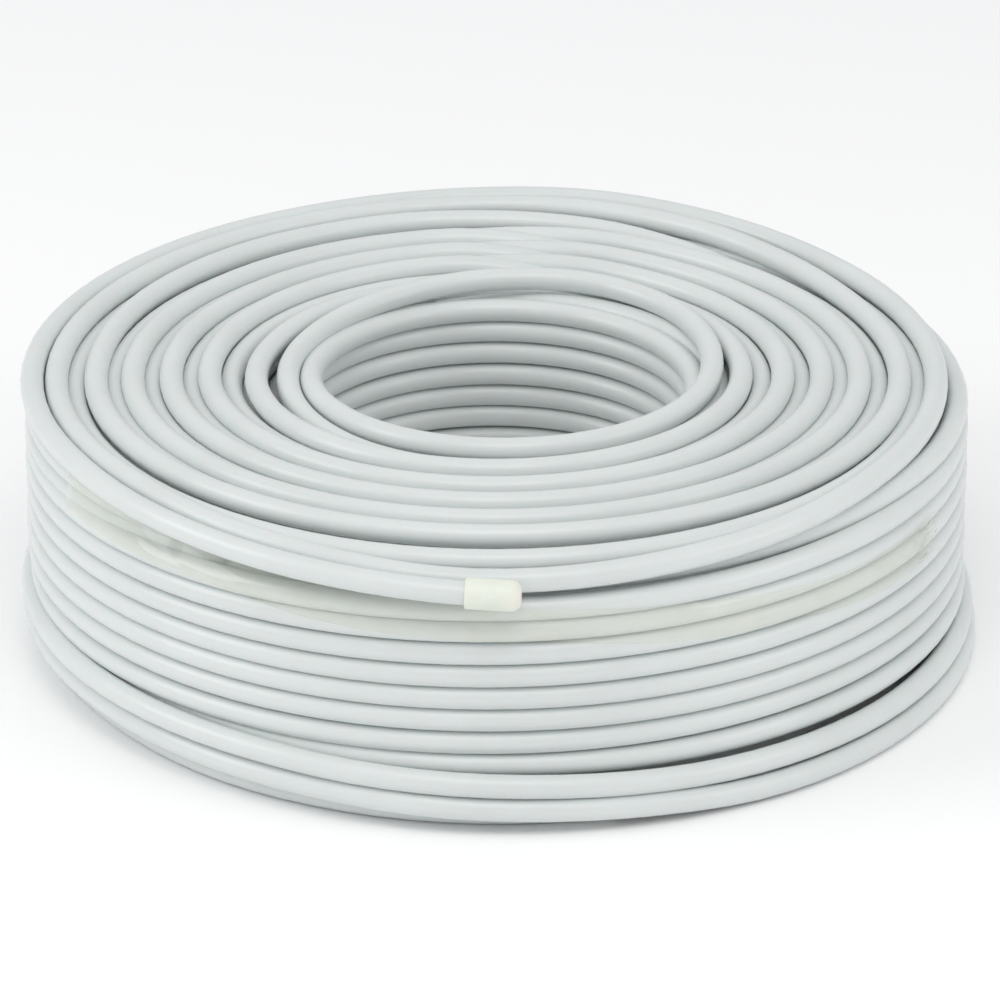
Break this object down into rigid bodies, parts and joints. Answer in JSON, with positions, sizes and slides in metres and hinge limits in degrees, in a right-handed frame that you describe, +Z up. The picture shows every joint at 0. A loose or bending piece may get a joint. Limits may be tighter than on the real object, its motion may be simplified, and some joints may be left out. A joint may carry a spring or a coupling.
{
  "type": "coaxial cable coil",
  "caption": "Coil of white coaxial cable lying flat, wound in layers round an open bore, with sprung outer turns, a capped end and a strip of clear tape.",
  "frame": {"origin": "middle of the coil's outline, on the floor that it lies on", "axes": "+Z up along the coil's axis, -Y towards the front, where the capped end lies"},
  "size_m": [0.28, 0.286, 0.0858],
  "materials": {
    "jacket": "white extruded PVC, satin to glossy",
    "tape": "clear packing tape with a faint yellow tint, glossy",
    "cap": "off-white moulded polyethylene, soft sheen"
  },
  "bodies": {
    "root": {"wound_body": "jacket", "last_turns": "jacket", "rim_turn": "jacket", "foot_turns": "jacket", "inner_loop": "jacket", "clear_tape": "tape", "end_cap": "cap"}
  },
  "joints": []
}
